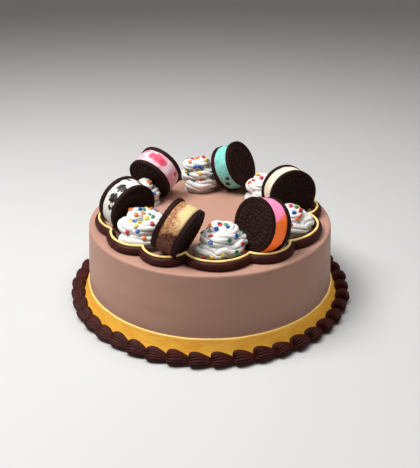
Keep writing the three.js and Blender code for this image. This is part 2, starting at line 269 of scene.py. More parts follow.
class Sandwiches(bpy.types.PropertyGroup):
    radius: length("Radius", "Radius of a wafer", 23.6)
    wafer: length("Wafer", "Thickness of a wafer", 4.1)
    relief: length("Relief", "Height of the embossed motif", 0.7)
    filling_radius: length("Filling radius", "Radius of the ice cream beside a wafer", 22.3)
    bulge: length("Bulge", "How far the ice cream stands out at its middle", 0.6)
    cocoa: colour("Wafer colour", "Colour of the dark wafers", "#2b1714")
    chunk: colour("Chunk", "Ice cream with chocolate chunks", "#ebe8e0")
    toffee: colour("Toffee", "Toffee swirl ice cream", "#dbab77")
    sorbet: colour("Sorbet", "Orange half of the sorbet", "#ff6e28")
    vanilla: colour("Vanilla", "Vanilla ice cream", "#ece0c8")
    mint: colour("Mint", "Mint ice cream", "#8adfd2")
    pink: colour("Strawberry", "Strawberry ripple ice cream", "#f2a7ba")
    chocolate: colour("Chocolate", "Chunks and chips in the ice cream", "#21130f")
    caramel: colour("Caramel", "Caramel swirls", "#763820")
    berry: colour("Berry", "Berry patches", "#dd3f62")
    raspberry: colour("Raspberry", "Pink half of the sorbet", "#f783ab")


class Rosettes(bpy.types.PropertyGroup):
    rope: length("Rope", "Radius of the rope of cream at its start", 8.4)
    thin: share("Thinning", "How much thinner the rope is at its end", 0.25)
    squash: share("Squash", "Height of the rope as a share of its width", 0.85)
    lobes: count("Lobes", "Lobes of the star nozzle", 7)
    lobe: share("Lobe depth", "Depth of the grooves between the lobes", 0.22)
    pleats: count("Pleats", "Fine pleats round the rope", 26)
    pleat: share("Pleat depth", "Depth of the fine pleats", 0.2)
    twist: share("Twist", "Turns of the nozzle in one turn of the coil", 0.9)
    ruffle: length("Ruffle", "How far the rope wanders off its path", 2.8)
    voxel: length("Detail", "Size of the smallest fold that is kept", 0.45)
    tint: colour("Cream", "Colour of the whipped cream", "#e5e2de")


class Sprinkles(bpy.types.PropertyGroup):
    radius: length("Radius", "Radius of a sprinkle", 2.1)
    thickness: length("Thickness", "Thickness of a sprinkle", 1.2)
    at_back: count("At the back", "Places round a rosette, of which its back is used", 26)
    blue: colour("Blue", "Colour of the blue sprinkles", "#1f5fa8")
    green: colour("Green", "Colour of the green sprinkles", "#1c7a55")
    red: colour("Red", "Colour of the red sprinkles", "#c81f35")
    yellow: colour("Yellow", "Colour of the yellow sprinkles", "#ecc83f")
    orange: colour("Orange", "Colour of the orange sprinkles", "#e2702a")


class Studio(bpy.types.PropertyGroup):
    floor: colour("Floor", "Colour of the floor and the wall", "#cdccca")
    key: power("Key light", "Power of the key light", 14.5)
    top: power("Top light", "Power of the light overhead", 6)
    sky: share("Sky", "Strength of the light from all round", 0.14)


class CakeSettings(bpy.types.PropertyGroup):
    cake: PointerProperty(type=CakeIcing)
    band: PointerProperty(type=BandIcing)
    shells: PointerProperty(type=ShellPiping)
    rope: PointerProperty(type=RopePiping)
    line: PointerProperty(type=LinePiping)
    sandwiches: PointerProperty(type=Sandwiches)
    rosettes: PointerProperty(type=Rosettes)
    sprinkles: PointerProperty(type=Sprinkles)
    studio: PointerProperty(type=Studio)


# Modelling


def polar(radius, azimuth, z=0.0):
    return Vector((radius * math.cos(azimuth), radius * math.sin(azimuth), z))


def mix(first, second, part):
    return first + (second - first) * part


def outwards(point):
    """The level direction from the Z axis to a point."""
    return Vector((point.x, point.y, 0)).normalized()


def only(obj):
    """Makes an object the only one that is selected, and the active one."""
    bpy.ops.object.select_all(action="DESELECT")
    obj.select_set(True)
    bpy.context.view_layer.objects.active = obj
    return obj


def primitive(add, **settings):
    """Adds a primitive mesh with its operator."""
    bpy.ops.object.select_all(action="DESELECT")
    add(**settings)
    return bpy.context.object


@contextmanager
def editing(obj, mode="FACE", select="SELECT"):
    """Edit mode, with all or nothing selected at first."""
    only(obj)
    bpy.ops.object.mode_set(mode="EDIT")
    bpy.ops.mesh.select_mode(type=mode)
    bpy.ops.mesh.select_all(action=select)
    yield
    bpy.ops.object.mode_set(mode="OBJECT")


def select_faces(obj, wanted):
    """In edit mode, selects the faces whose middle and normal pass a test, and no others."""
    work = bmesh.from_edit_mesh(obj.data)
    for face in work.faces:
        face.select_set(False)
    for face in work.faces:
        if wanted(face.calc_center_median(), face.normal):
            face.select_set(True)
    bmesh.update_edit_mesh(obj.data)


def modified(obj, kind, **settings):
    """Adds a modifier and applies it."""
    only(obj)
    modifier = obj.modifiers.new(kind.title(), kind)
    for key, value in settings.items():
        setattr(modifier, key, value)
    bpy.ops.object.modifier_apply(modifier=modifier.name)
    return obj


def outward(obj, inside=False):
    """Merges doubled points and points the faces outwards, or inwards."""
    with editing(obj):
        bpy.ops.mesh.remove_doubles(threshold=0.002 * MM)
        bpy.ops.mesh.normals_make_consistent(inside=inside)
    return obj


def meshed(name, points, faces):
    mesh = bpy.data.meshes.new(name)
    mesh.from_pydata(points, [], faces)
    obj = bpy.data.objects.new(name, mesh)
    bpy.context.collection.objects.link(obj)
    return only(obj)


def moved(obj, place):
    """Sends every point of a mesh through a function."""
    for vertex in obj.data.vertices:
        vertex.co = place(vertex.co.copy())
    obj.data.update()
    return obj


def copied(obj, name, place):
    """A copy with a mesh of its own, put in its place by a matrix."""
    twin = obj.copy()
    twin.data = obj.data.copy()
    twin.name = name
    bpy.context.collection.objects.link(twin)
    twin.data.transform(place)
    return twin


def joined(objects, name):
    """Joins objects into one."""
    bpy.ops.object.select_all(action="DESELECT")
    for obj in objects:
        obj.select_set(True)
    bpy.context.view_layer.objects.active = objects[0]
    if len(objects) > 1:
        bpy.ops.object.join()
    objects[0].name = name
    return objects[0]


def removed(obj):
    bpy.data.meshes.remove(obj.data)


def spun(name, profile, steps=ROUND_STEPS):
    """Draws a profile of radii and heights by extruding a point, and spins it round the Z axis."""
    obj = primitive(bpy.ops.mesh.primitive_plane_add, size=MM)
    obj.name = name
    points = [Vector((radius, 0, z)) for radius, z in profile]
    with editing(obj, "VERT"):
        bpy.ops.mesh.merge(type="CENTER")
        bpy.ops.transform.translate(value=points[0])
        for before, after in zip(points, points[1:]):
            bpy.ops.mesh.extrude_region_move(TRANSFORM_OT_translate={"value": after - before})
        bpy.ops.mesh.select_all(action="SELECT")
        bpy.ops.mesh.spin(steps=steps, angle=TURN, center=(0, 0, 0), axis=UP)
    return outward(obj)


def straight(start, end, number):
    """Points from a start up to, but without, an end."""
    start, end = Vector(start), Vector(end)
    return [tuple(start.lerp(end, i / number)) for i in range(number)]


def arc(centre, radius, start, end, number):
    """Points on an arc from one angle to another, in degrees."""
    angles = [math.radians(mix(start, end, i / number)) for i in range(number + 1)]
    return [(centre[0] + radius * math.cos(a), centre[1] + radius * math.sin(a)) for a in angles]


def wander(place, size, seed=0.0):
    """Smooth noise between about -1 and 1, in spots of a given size."""
    return noise.noise(place / size + Vector((seed, 2.3 * seed, 0.7 * seed)))


def pushed(place, size, seed):
    """Smooth noise in all three directions."""
    return Vector([wander(place, size, seed + i) for i in range(3)])


def skinned(name, rings, start, end):
    """A closed skin over rings of points, drawn together at a start and an end point."""
    size = len(rings[0])
    points = [start, *(point for ring in rings for point in ring), end]
    faces = []
    for j in range(size):
        k = (j + 1) % size
        faces.append((0, 1 + k, 1 + j))
        faces.append((len(points) - 1, len(points) - 1 - size + j, len(points) - 1 - size + k))
    for here in range(1, 1 + (len(rings) - 1) * size, size):
        for j in range(size):
            k = (j + 1) % size
            faces.append((here + j, here + k, here + size + k, here + size + j))
    return meshed(name, points, faces)


def finished(obj, name, material, slot, *nodes):
    """Gives a piece its name, smooth shading and material, and its place on the frame; its slot is not
    used.
    """
    obj.name = name
    obj.data.name = name
    only(obj)
    bpy.ops.object.shade_smooth()
    obj.data.materials.clear()
    obj.data.materials.append(material)
    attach(obj, BODY)
    if nodes:
        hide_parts(*nodes)
    return obj


# Shading


class Wire:
    """A node's output. Python's operators on it add Math nodes, and Vector Math nodes on vectors."""

    def __init__(self, finish, socket):
        self.finish = finish
        self.socket = socket

    def reckoned(self, operation, *values):
        vector = any(isinstance(v, Wire) and v.socket.type == "VECTOR" for v in values)
        kind = "ShaderNodeVectorMath" if vector else "ShaderNodeMath"
        return self.finish.node(kind, {"operation": operation}, dict(enumerate(values)))

    def __add__(self, other):
        return self.reckoned("ADD", self, other)

    def __sub__(self, other):
        return self.reckoned("SUBTRACT", self, other)

    def __rsub__(self, other):
        return self.reckoned("SUBTRACT", other, self)

    def __mul__(self, other):
        return self.reckoned("MULTIPLY", self, other)

    def __or__(self, other):
        return self.reckoned("MAXIMUM", self, other)

    __radd__, __rmul__, __ror__ = __add__, __mul__, __or__


class Finish:
    """A material in the making, on the piece's own coordinates."""

    def __init__(self, name, specular, **constants):
        self.material = bpy.data.materials.new(name)
        self.material.use_nodes = True
        self.tree = self.material.node_tree
        self.shader = self.tree.nodes["Principled BSDF"]
        self.shader.inputs["Specular IOR Level"].default_value = specular
        for key, value in constants.items():
            self.shader.inputs[key.replace("_", " ")].default_value = value
        self.place = self.node("ShaderNodeTexCoord", output="Object")

    def node(self, kind, settings=None, sockets=None, output=0):
        """Adds a node: its settings first, then values or wires for its sockets."""
        node = self.tree.nodes.new(kind)
        for key, value in (settings or {}).items():
            setattr(node, key, value)
        for key, value in (sockets or {}).items():
            socket = node.inputs[key]
            if isinstance(value, Wire):
                self.tree.links.new(value.socket, socket)
            elif socket.type == "VECTOR" and isinstance(value, (int, float)):
                socket.default_value = (value, value, value)
            else:
                socket.default_value = value
        return Wire(self, node.outputs[output])

    def noise(self, size, detail=3.0, at=None, distortion=0.0, output=0):
        """Noise from 0 to 1 in spots of a given size."""
        sockets = {"Vector": at or self.place, "Scale": 1 / size, "Detail": detail}
        return self.node("ShaderNodeTexNoise", {}, {**sockets, "Distortion": distortion}, output)

    def step(self, value, low, high):
        """0 below low and 1 above high, with a smooth climb between them."""
        settings = {"interpolation_type": "SMOOTHSTEP"}
        return self.node("ShaderNodeMapRange", settings, {0: value, 1: low, 2: high})

    def blend(self, part, first, second):
        """The first colour where part is 0 and the second where it is 1."""
        first, second = (c if isinstance(c, Wire) else (*c, 1.0) for c in (first, second))
        return self.node("ShaderNodeMix", {"data_type": "RGBA"}, {0: part, 6: first, 7: second}, 2)

    def shades(self, part, tint, darker, lighter):
        """A tint, made darker where part is 0 and lighter where it is 1."""
        return self.blend(part, shaded(tint, darker), shaded(tint, lighter))

    def wave(self, value, length):
        """Waves from -1 to 1 of a given length."""
        return self.node("ShaderNodeMath", {"operation": "SINE"}, {0: value * (TURN / length)})

    def parts(self, at):
        """The X, Y and Z of a place."""
        split = self.node("ShaderNodeSeparateXYZ", {}, {0: at})
        return [Wire(self, output) for output in split.socket.node.outputs]

    def level(self, flatter):
        """The place with its height made larger, for marks that run level round the cake."""
        x, y, z = self.parts(self.place)
        return self.node("ShaderNodeCombineXYZ", {}, {0: x, 1: y, 2: z * flatter})

    def turned(self, matrix):
        """The place as it is seen from a matrix: its origin in the middle and its axes straight."""
        sockets = {"Vector": self.place, "Location": matrix.translation, "Rotation": matrix.to_euler()}
        return self.node("ShaderNodeMapping", {"vector_type": "TEXTURE"}, sockets)

    def wear(self, **wires):
        for key, wire in wires.items():
            self.tree.links.new(wire.socket, self.shader.inputs[key.replace("_", " ")])

    def done(self, colours, roughness, relief=None, depth=0.0):
        """Ends the material. Its relief, from 0 to 1, stands for a given depth."""
        self.wear(Base_Color=colours, Roughness=roughness)
        if relief is not None:
            self.wear(Normal=self.node("ShaderNodeBump", {}, {"Height": relief, "Distance": depth}))
        return self.material


def shaded(tint, *factors):
    """A colour made darker or lighter by one factor, or by one for each channel."""
    return tuple(min(1.0, channel * factor) for channel, factor in zip(tint, factors * 3))


def mocha_icing(tint):
    """Satin icing, spread with a spatula, so with faint long marks round the cake."""
    finish = Finish("mocha_icing", 0.28, Subsurface_Weight=0.06, Subsurface_Scale=4 * MM)
    marks = finish.noise(45 * MM, 2.0, at=finish.level(4))
    grain = finish.noise(1.6 * MM, 4.0)
    clouds = finish.noise(30 * MM, 2.0)
    colours = finish.shades(clouds * 0.6 + grain * 0.4, tint, 0.93, 1.07)
    rough = finish.step(marks, 0.2, 0.8) * 0.12 + 0.44
    return finish.done(colours, rough, marks * 0.7 + grain * 0.06, 0.5 * MM)


def yellow_icing(tint, rim):
    """Yellow icing, with a painted highlight along its thin upper rim and a painted glow: its colours
    are also given off as light.
    """
    finish = Finish("yellow_icing", 0.25, Emission_Strength=0.15)
    marks = finish.noise(14 * MM, 3.0, at=finish.level(3))
    body = finish.blend(finish.step(marks, 0.3, 0.75), shaded(tint, 1.05), shaded(tint, 0.95, 0.84, 0.7))
    # Painted highlight: the colour is made paler along the rim, where light catches the rounded edge.
    painted_rim_highlight = finish.step(finish.parts(finish.place)[2], rim - 1.2 * MM, rim - 0.2 * MM)
    colours = finish.blend(painted_rim_highlight * 0.85, body, shaded(tint, 1, 1.45, 4))
    # Painted glow: the colours are also given off as light, to brighten the band where it lies in shade.
    finish.wear(Emission_Color=colours)
    return finish.done(colours, marks * 0.2 + 0.34, marks, 0.5 * MM)


def lemon_icing(tint):
    """Pale yellow icing, with a painted glow: its colours are also given off as light."""
    finish = Finish("lemon_icing", 0.4, Emission_Strength=0.12)
    spots = finish.noise(4 * MM, 2.0)
    colours = finish.shades(spots, tint, 0.94, 1.06)
    # Painted glow: the colours are also given off as light, to keep the line bright where it lies in
    # shade.
    finish.wear(Emission_Color=colours)
    return finish.done(colours, spots * 0.2 + 0.26, spots, 0.25 * MM)


def fudge(tint):
    """Dark glossy fudge with a little grain, and a warmer brown here and there."""
    finish = Finish("fudge", 0.14)
    clouds = finish.noise(9 * MM)
    grain = finish.noise(0.9 * MM)
    warm = finish.step(clouds, 0.35, 0.75)
    colours = finish.blend(warm, shaded(tint, 0.9), shaded(tint, 1.45, 1.2, 1.1))
    rough = clouds * 0.18 + grain * 0.14 + 0.3
    return finish.done(colours, rough, grain * 0.5 + clouds * 0.5, 0.45 * MM)


def wafer_finish(tint):
    """Dark baked wafer: matt, crumbly, with paler specks on it."""
    finish = Finish("wafer", 0.1)
    crumbs = finish.noise(0.8 * MM, 6.0)
    paleness = finish.step(crumbs, 0.58, 0.72) * 0.55 + finish.noise(7 * MM) * 0.3
    colours = finish.blend(paleness, shaded(tint, 0.75), shaded(tint, 1.9, 1.75, 1.65))
    pits = finish.node("ShaderNodeTexVoronoi", {}, {"Vector": finish.place, "Scale": 1 / (1.1 * MM)})
    return finish.done(colours, crumbs * 0.3 + 0.5, crumbs * 0.7 + pits * 0.3, 0.35 * MM)


def whipped_cream(tint):
    """White cream with fine bubbles, a little cooler in spots."""
    finish = Finish("whipped_cream", 0.35, Subsurface_Weight=0.3, Subsurface_Scale=2.5 * MM)
    clouds = finish.noise(6 * MM)
    bubbles = finish.noise(0.7 * MM)
    colours = finish.blend(clouds, shaded(tint, 0.93, 0.94, 0.95), shaded(tint, 1.03))
    return finish.done(colours, clouds * 0.2 + 0.36, bubbles * 0.35 + clouds * 0.65, 0.5 * MM)


def frozen(name, **constants):
    """Ice cream's shader, before its colours."""
    return Finish(name, 0.35, Subsurface_Weight=0.12, Subsurface_Scale=1.5 * MM, **constants)


def icy(finish, colours, raised=None):
    """Ends an ice cream's material: its colours, frost and grain, and what stands out of it."""
    grain = finish.noise(1.2 * MM, 5.0)
    relief = grain * 0.5 + finish.noise(4 * MM) * 0.5
    if raised is not None:
        relief = relief * 0.7 + raised * 0.3
    return finish.done(colours, grain * 0.3 + 0.32, relief, 0.5 * MM)


def patches(finish, at, sizes, places, soft):
    """1 inside round patches and 0 outside them, with an edge of a given softness in millimetres."""
    settings = {"operation": "DISTANCE"}
    inside = 0.0
    for clock, across, size in places:
        middle = polar(sizes.filling_radius + sizes.bulge, math.radians(clock), across * MM)
        near = finish.node("ShaderNodeVectorMath", settings, {0: at, 1: middle}, "Value")
        inside = (1 - finish.step(near, (size - soft) * MM, (size + soft) * MM)) | inside
    return inside


def wobbled(finish, at, size, amount):
    """A place pushed about by noise, to give a pattern uneven edges."""
    return at + (finish.noise(size, 4.0, at, output="Color") - 0.5) * (2 * amount)


def chunk_ice_cream(place, sizes):
    """White, with big ragged chunks of chocolate and small flecks."""
    finish = frozen("ice_chunk")
    at = wobbled(finish, finish.turned(place), 2.4 * MM, 5 * MM)
    flecks = finish.step(finish.noise(1.7 * MM, 2.0, at=at), 0.69, 0.73)
    dark = patches(finish, at, sizes, CHUNKS, 0.5) | flecks * 0.8
    smears = finish.step(finish.noise(5 * MM), 0.56, 0.75) * 0.35
    pale = finish.shades(finish.noise(6 * MM, 4.0), sizes.chunk, 0.86, 1.05)
    smeared = finish.blend(smears, pale, shaded(sizes.chocolate, 9))
    return icy(finish, finish.blend(dark, smeared, sizes.chocolate), dark)


def toffee_ice_cream(place, sizes):
    """Ivory at the top, peach with thin swirls at the middle and dark caramel at the foot."""
    finish = frozen("ice_toffee")
    at = finish.turned(place)
    _, height, depth = finish.parts(at)
    clouds = finish.noise(8 * MM, at=at) - 0.5
    speckle = finish.noise(2.2 * MM, 5.0, at=at, distortion=0.6)
    high = finish.step(height + depth * 0.9 + clouds * (14 * MM), 15 * MM, 22 * MM)
    creamy = finish.blend(high, sizes.toffee, shaded(sizes.toffee, 1.15, 1.5, 1.6))
    swept = height - depth * 0.7 + clouds * (26 * MM)
    crests = finish.step(finish.wave(swept, 5.5 * MM), 0.45, 0.95)
    ribbons = crests * (1 - high) * finish.step(speckle, 0.25, 0.5)
    ribboned = finish.blend(ribbons * 0.75, creamy, shaded(sizes.caramel, 1.6))
    by_far = 1 - finish.step(depth + clouds * (9 * MM), -4.5 * MM, 0.5 * MM)
    spots = finish.step(speckle, 0.35, 0.6)
    tan = finish.blend(spots, shaded(sizes.toffee, 0.75), shaded(sizes.caramel, 1.7))
    mottled = finish.blend(by_far * 0.8, ribboned, tan)
    low = 1 - finish.step(height - depth * 0.5 + clouds * (12 * MM), 4.5 * MM, 7.5 * MM)
    stripes = finish.step(finish.wave(swept, 3.4 * MM), -0.2, 0.9) * finish.step(speckle, 0.3, 0.6)
    brown = finish.blend(stripes, shaded(sizes.caramel, 0.4), shaded(sizes.caramel, 1.5, 1.7, 2))
    return icy(finish, finish.blend(low, mottled, brown), ribbons)


def sorbet_ice_cream(place, sizes):
    """Orange below and raspberry above, with a painted glow: its colours are also given off as light, in
    place of the light that falls on it from the right and shines through it.
    """
    finish = frozen("ice_sorbet", Emission_Strength=0.4)
    _, height, depth = finish.parts(finish.turned(place))
    edge = height + depth * 0.55 + (finish.noise(5 * MM, 2.0) - 0.5) * (5 * MM)
    clouds = finish.step(finish.noise(3 * MM, 4.0, distortion=0.8), 0.3, 0.7)
    orange = finish.shades(clouds, sizes.sorbet, 0.72, 1.2)
    pink = finish.shades(clouds, sizes.raspberry, 0.9, 1.12)
    colours = finish.blend(finish.step(edge, 11 * MM, 14 * MM), orange, pink)
    # Painted glow: the colours are also given off as light.
    finish.wear(Emission_Color=colours)
    return icy(finish, colours)


def vanilla_ice_cream(place, sizes):
    """Plain vanilla."""
    finish = frozen("ice_vanilla")
    return icy(finish, finish.shades(finish.noise(7 * MM, 4.0), sizes.vanilla, 0.93, 1.04))


def mint_ice_cream(place, sizes):
    """Mint green with dark chips and small dashes, frosted next to the farther wafer."""
    finish = frozen("ice_mint")
    turned = finish.turned(place)
    at = wobbled(finish, turned, 2.2 * MM, 1.6 * MM)
    chips = patches(finish, at, sizes, MINT_CHIPS, 0.3)
    green = finish.shades(finish.noise(3.5 * MM, 5.0), sizes.mint, 0.62, 1.18)
    frost = 1 - finish.step(finish.parts(turned)[2], -7 * MM, -4 * MM)
    frosted = finish.blend(frost * 0.45, green, (0.75, 0.85, 0.82))
    dashes = finish.step(finish.noise(1.5 * MM, 2.0, at=at), 0.6, 0.7) * 0.5
    return icy(finish, finish.blend(chips | dashes, frosted, shaded(sizes.chocolate, 0.8)), chips)


def pink_ice_cream(place, sizes):
    """White and pale pink with patches of berry."""
    finish = frozen("ice_pink")
    turned = finish.turned(place)
    at = wobbled(finish, turned, 3 * MM, 2.6 * MM)
    berries = patches(finish, at, sizes, BERRIES, 0.9)
    cores = patches(finish, at, sizes, BERRY_CORES, 0.9)
    clouds = finish.step(finish.noise(7 * MM, at=turned), 0.36, 0.62)
    pale = finish.blend(clouds, (0.88, 0.68, 0.71), sizes.pink)
    rippled = finish.blend(berries * 0.9, pale, sizes.berry)
    return icy(finish, finish.blend(cores * 0.8, rippled, shaded(sizes.berry, 0.85, 0.5, 0.45)), berries)


ICE_CREAMS = {
    "chunk": chunk_ice_cream,
    "toffee": toffee_ice_cream,
    "sorbet": sorbet_ice_cream,
    "vanilla": vanilla_ice_cream,
    "mint": mint_ice_cream,
    "pink": pink_ice_cream,
}


def sprinkle_finish(name, tint):
    finish = Finish(f"sprinkle_{name}", 0.5, Coat_Weight=0.3, Coat_Roughness=0.15)
    spots = finish.noise(1.5 * MM, 2.0)
    return finish.done(finish.shades(spots, tint, 0.88, 1.12), spots * 0.2 + 0.25)


def floor_finish(tint):
    finish = Finish("studio_floor", 0.2)
    clouds = finish.noise(0.4, 2.0)
    return finish.done(finish.shades(clouds, tint, 0.98, 1.02), clouds * 0.1 + 0.6)


# Pieces


def band_radius(band, cake, z):
    """Outer radius of the band at a height above the floor."""
    down = max(0.0, 1 - z / (band.height - band.rim))
    return cake.foot_radius + band.rim + band.flare * down**band.flare_power


def iced_cake(cake):
    """The cake: straight behind the band, its side drawn in a little, and flat on top."""
    edge = CAKE_TOP - cake.edge
    corner = (cake.foot_radius, SIDE_FOOT)
    profile = [(0, 0), *straight((cake.foot_radius, 0), corner, 2)]
    profile += straight(corner, (cake.radius, edge), 16)
    profile += arc((cake.radius - cake.edge, edge), cake.edge, 0, 90, 6)
    profile += straight((cake.radius - 2 * cake.edge, CAKE_TOP), (0, CAKE_TOP), 12) + [(0, CAKE_TOP)]

    def spread(point):
        if point.z < 10 * MM:
            return point
        marks = wander(Vector((point.x, point.y, 2.5 * point.z)), 38 * MM, 1)
        amount = cake.uneven * (marks + wander(point, 11 * MM, 2) * 0.35)
        if point.z > CAKE_TOP - 0.1 * MM:
            return point - UP * abs(amount)
        return point + outwards(point) * amount

    return moved(spun("cake_icing", profile), spread)


def yellow_band(band, cake):
    """The band: flared at its foot, with a rounded rim that wanders up and down."""
    top = band.height - band.rim
    inner = cake.foot_radius - 1 * MM
    heights = [mix(0.5 * MM, top, i / 9) for i in range(9)]
    profile = [(inner, heights[0]), *((band_radius(band, cake, z), z) for z in heights)]
    profile += arc((cake.foot_radius, top), band.rim, 10, 120, 6)
    profile += [(inner, top), profile[0]]

    def spread(point):
        amount = 0.25 * MM * wander(point, 20 * MM, 5)
        lift = 0.0
        if point.z > top - 2 * MM:
            amount += 0.28 * MM * wander(point, 7 * MM, 6)
            lift = 0.3 * MM * wander(Vector((point.x, point.y, 0)), 26 * MM, 7)
        return point + outwards(point) * amount + UP * lift

    return moved(spun("band_icing", profile), spread)


def shell_master(shells):
    """One shell, along the X axis with its head at -X, its outside at +Y, on the floor."""
    pitch = TURN * shells.crest_radius / shells.number
    wide = shells.foot_radius - shells.crest_radius
    high = SHELL_TOP / 2
    first, last = -0.52, 0.66  # its ends, as shares of the pitch
    steps = {"segments": 6 * shells.ridges, "ring_count": 18}
    obj = primitive(bpy.ops.mesh.primitive_uv_sphere_add, radius=1, **steps)

    def piped(point):
        along = min(1.0, max(0.0, (1 - point.z) / 2)) ** 0.8
        around = math.atan2(point.y, point.x)
        head = max(0.0, 1 - along / shells.head)
        tail = min(1.0, max(0.0, (along - shells.head) / (1 - shells.head)))
        fat = (1 - head**4) ** 0.5 * (1 - tail**2.2) ** 0.6 * (1 - 0.35 * tail)
        star = abs(math.sin(around * shells.ridges / 2 + shells.twist * (1 - along) ** 2))
        size = fat * (1.06 - shells.groove / wide * (1 - star) * (1 + head))
        x = mix(first, last, along) * pitch - shells.fringe * (star - 0.4) * head**0.5 * fat
        z = high * (1 - 0.4 * tail + size * math.sin(around))
        return Vector((x, wide * size * math.cos(around), max(0.0, z)))

    return moved(obj, piped)


def shell_border(shells, band, cake):
    """All the shells, each a little different from the next."""
    draw = random.Random(11)
    master = shell_master(shells)
    mirror = Matrix.Scale(-1, 4, (1, 0, 0))
    copies = []
    for number in range(shells.number):
        azimuth = shells.start + (number + 0.5) * TURN / shells.number
        grow = 1 + shells.uneven * draw.uniform(-1, 1)
        stretch = Matrix.Diagonal((1 + 0.04 * draw.uniform(-1, 1), 1, min(grow, 1.02), 1))
        yaw = Matrix.Rotation(math.radians(draw.uniform(-4, 4)), 4, "Z")
        out = Matrix.Translation((0, shells.crest_radius + 0.5 * MM * draw.uniform(-1, 1), 0))
        turn = Matrix.Rotation(azimuth - math.pi / 2, 4, "Z")
        copies.append(copied(master, f"shell_{number}", turn @ out @ yaw @ stretch @ mirror))
    removed(master)

    def leaned(point):
        """Keeps the shells outside the band."""
        away = max(1.0, band_radius(band, cake, point.z) / point.xy.length)
        return Vector((away * point.x, away * point.y, point.z))

    return moved(outward(joined(copies, "shell_piping")), leaned)


def scallop_point(rope, scallop, part):
    start, start_radius = CUSPS[scallop]
    end, end_radius = CUSPS[(scallop + 1) % len(CUSPS)]
    azimuth = math.radians(start + ((end - start) % 360) * part)
    bow = max(0.0, math.sin(math.pi * part)) ** rope.roundness
    return polar(mix(mix(start_radius, end_radius, part) * MM, rope.radius, bow), azimuth)


def eased(number, total):
    """Parts from 0 to 1 that lie closer together at both ends."""
    return (1 - math.cos(math.pi * number / total)) / 2


def strand(rope, scallop, section, z, rounding, stations=60, fine=400):
    """Sweeps a section of sideways and upward sizes along a scallop and rounds off its ends."""
    path = [scallop_point(rope, scallop, eased(i, fine)) for i in range(fine + 1)]
    run = [0.0]
    for before, after in zip(path, path[1:]):
        run.append(run[-1] + (after - before).length)
    rings = []
    index = 0
    for station in range(stations + 1):
        gone = eased(station + 0.5, stations + 1) * run[-1]
        while index < fine - 1 and run[index + 1] < gone:
            index += 1
        part = (gone - run[index]) / (run[index + 1] - run[index])
        middle = path[index].lerp(path[index + 1], part)
        ahead = path[min(fine, index + 5)] - path[max(0, index - 4)]
        side = outwards(Vector((ahead.y, -ahead.x, 0)))
        end = min(1.0, min(gone, run[-1] - gone) / rounding)
        size = math.sqrt(1 - (1 - end) ** 2)
        side *= 1 + 0.09 * wander(middle, 9 * MM, scallop + 3)
        middle += UP * z
        rings.append([middle + (side * across + UP * up) * size for across, up in section(gone)])
    return skinned(f"strand_{scallop}", rings, path[0] + UP * z, path[-1] + UP * z)


def piping(name, rope, section, z, rounding):
    """A strand along every scallop, as one piece."""
    return outward(joined([strand(rope, i, section, z, rounding) for i in range(len(CUSPS))], name))


def fudge_rope(rope):
    """The rope: grooved lengthwise, with a flat foot and a round back."""
    sunk = 0.3 * MM
    high = ROPE_TOP - ROPE_LOW + sunk
    widest, points = 0.42, 54  # where it is widest, as a share of its height; points round a section

    def section(gone):
        for i in range(points):
            around = TURN * i / points
            star = 1 - abs(math.sin(rope.ridges * around / 2 + 8 * gone))
            groove = 1 - rope.groove / rope.half_width * star
            level, rise = math.cos(around), math.sin(around)
            across = math.copysign(abs(level) ** 0.6, level) * rope.half_width
            across *= rope.inner if across < 0 else 1
            up = widest + (1 - widest if rise > 0 else widest) * rise
            yield across * groove, up * high * mix(1, groove, 0.5)

    return piping("rope_piping", rope, section, ROPE_LOW - sunk, 3 * MM)


def yellow_line(rope, line):
    """The line, sunk a little into the rope."""
    low = ROPE_TOP - 0.5 * MM
    middle = (LINE_TOP - low) / 2
    points = 14

    def section(gone):
        wide = line.half_width * (1 + 0.12 * math.sin(gone / (2.6 * MM)))
        for i in range(points):
            around = TURN * i / points
            yield wide * math.cos(around), middle * (1 + math.sin(around))

    return piping("line_piping", rope, section, low, 1.2 * MM)


def wafer(sizes):
    """A wafer with its embossed face up: beads, leaves, dots and petals in rings round a button."""
    size = {"radius": sizes.radius, "depth": sizes.wafer}
    obj = primitive(bpy.ops.mesh.primitive_cylinder_add, vertices=WAFER_PARTS, **size)
    with editing(obj, select="DESELECT"):
        select_faces(obj, lambda middle, normal: normal.z > 0.9)
        for width, _, _ in WAFER_RINGS:
            bpy.ops.mesh.inset(thickness=width * MM)
        outer = sizes.radius
        for width, raised, of in (*WAFER_RINGS, WAFER_BUTTON):
            inner = max(0.0, outer - width * MM)

            def motif(middle, normal):
                part = int((math.atan2(middle.y, middle.x) % TURN) / TURN * WAFER_PARTS)
                return normal.z > 0.9 and inner <= middle.xy.length < outer and part % of < raised

            if raised:
                select_faces(obj, motif)
                bpy.ops.mesh.inset(thickness=0.22 * MM)
                bpy.ops.transform.translate(value=UP * sizes.relief)
            outer = inner
    steep = math.radians(80)
    modified(obj, "BEVEL", width=0.5 * MM, segments=2, limit_method="ANGLE", angle_limit=steep)
    modified(obj, "SUBSURF", levels=1, render_levels=1)
    return moved(obj, lambda point: point - UP * (0.6 * sizes.relief if point.z > 0 else 0))


def crumbly(obj, seed):
    """Makes a baked surface a little uneven."""
    shift = Vector((0.01 * seed, 0, 0))
    return moved(obj, lambda point: point + pushed(point + shift, 1.6 * MM, 1) * (0.09 * MM))


def sandwich_place(flavour):
    """A sandwich's middle and turn, Z out of its nearer wafer and Y up, and its wafers' distance."""
    near, far = (sum(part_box(f"{flavour}_wafer_{side}"), Vector()) / 2 for side in ("near", "far"))
    facing = (near - far).normalized()
    across = UP.cross(facing).normalized()
    place = Matrix((across, facing.cross(across), facing)).transposed().to_4x4()
    place.translation = (near + far) / 2
    return place, (near - far).length


